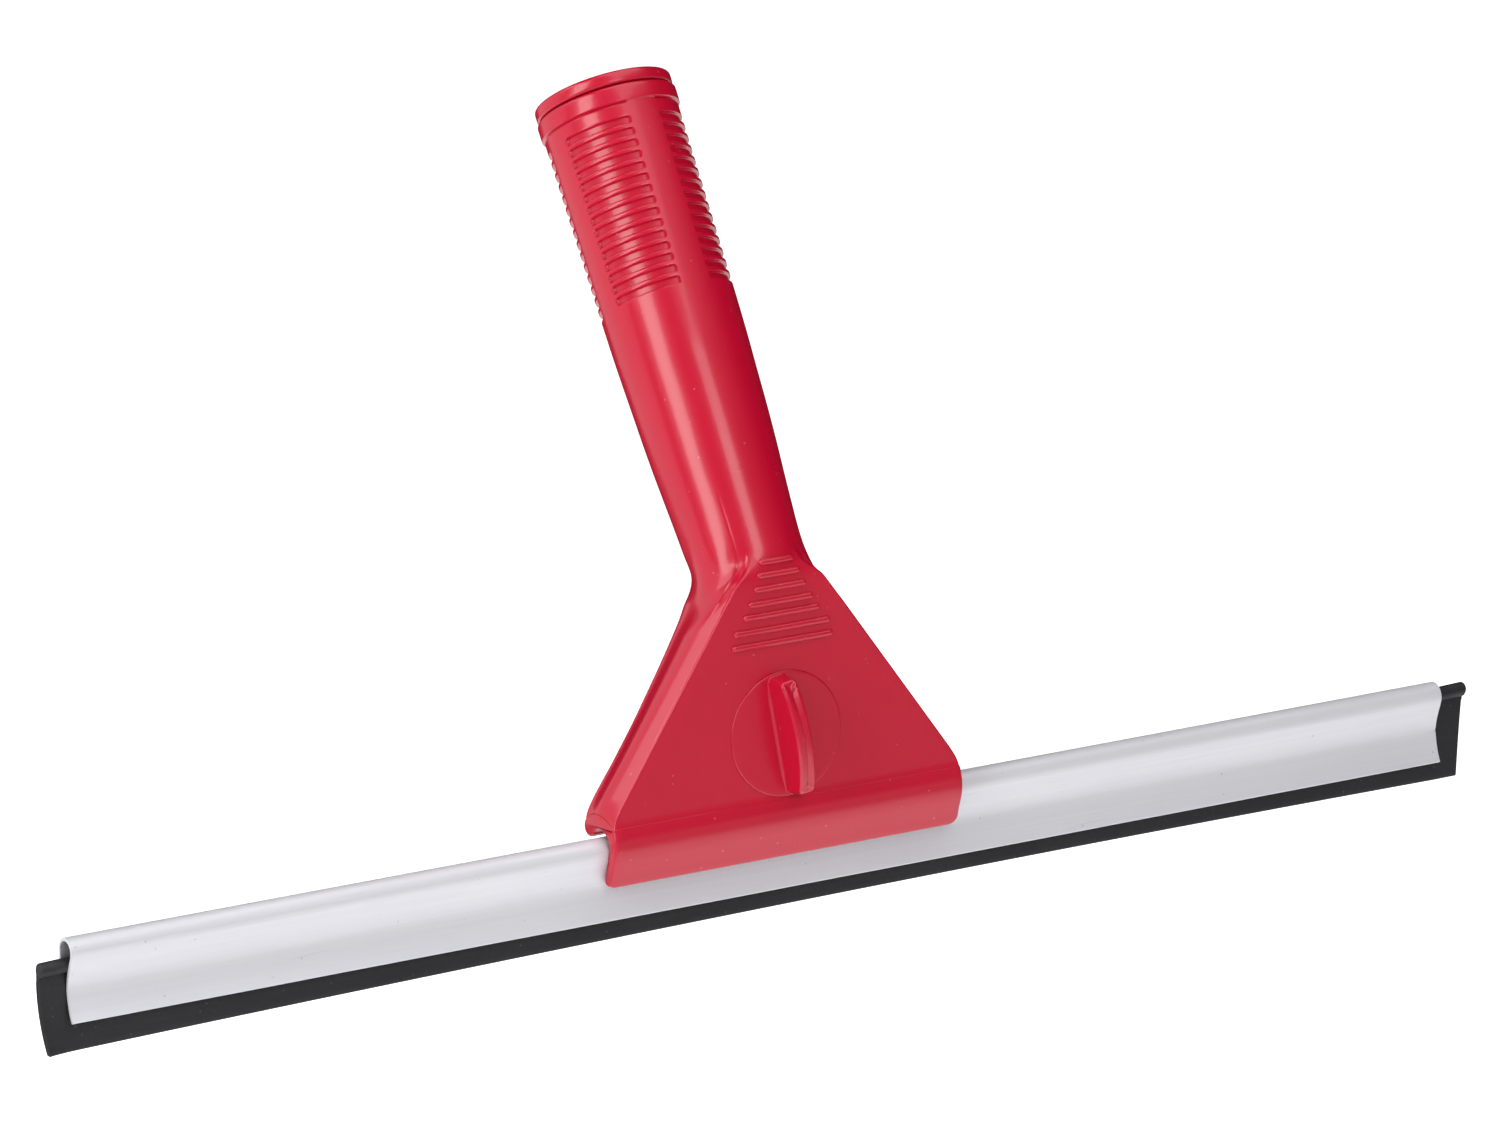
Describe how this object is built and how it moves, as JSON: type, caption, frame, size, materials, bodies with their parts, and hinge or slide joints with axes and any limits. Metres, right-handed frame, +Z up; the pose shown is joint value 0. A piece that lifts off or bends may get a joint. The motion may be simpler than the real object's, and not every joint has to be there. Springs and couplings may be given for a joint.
{
  "type": "window squeegee",
  "caption": "Hand squeegee with a leaning ribbed grip, a triangular clip head with a quarter-turn lock knob, a folded sheet rail and a rubber blade.",
  "frame": {"origin": "middle of the pole socket's mouth, at the open end of the grip", "axes": "+X along the rail, the flat front of the head and the knob face -Y, +Z up along the head; the grip leans back towards +Y"},
  "size_m": [0.365, 0.0879, 0.1798],
  "materials": {
    "red_plastic": "glossy moulded plastic",
    "natural_plastic": "plain moulded acetal",
    "rail_metal": "satin, light grey",
    "steel": "plain zinc plated",
    "black_rubber": "matte black"
  },
  "bodies": {
    "handle": {"handle_body": "red_plastic", "socket_collar": "red_plastic", "screw_cap": "red_plastic", "spring_left": "steel", "spring_right": "steel"},
    "lock_knob": {"knob": "red_plastic", "friction_ring": "black_rubber", "lock_cam": "natural_plastic", "cam_pin": "steel", "spindle_washer": "steel", "spindle_screw": "steel"},
    "shoe": {"lock_shoe": "natural_plastic", "shoe_pad": "black_rubber"},
    "rail": {"rail": "rail_metal"},
    "blade": {"rubber_blade": "black_rubber"}
  },
  "joints": [
    {"name": "knob_turn", "type": "hinge", "parent": "handle", "child": "lock_knob", "pos_m": [0, -0.06135, -0.1323], "axis": [0, -1, 0], "range_deg": [0, 90]},
    {"name": "shoe_lift", "type": "slide", "parent": "handle", "child": "shoe", "axis": [0, 0, 1], "range_m": [0, 0.0012], "deforming": ["spring_left", "spring_right"]},
    {"name": "rail_slide", "type": "slide", "parent": "handle", "child": "rail", "axis": [1, 0, 0], "range_m": [-0.13, 0.13]},
    {"name": "blade_slide", "type": "slide", "parent": "rail", "child": "blade", "axis": [1, 0, 0], "range_m": [-0.12, 0.12]}
  ],
  "couplings": [
    {"joint": "shoe_lift", "follows": "knob_turn", "m_per_rad": 0.00076}
  ]
}
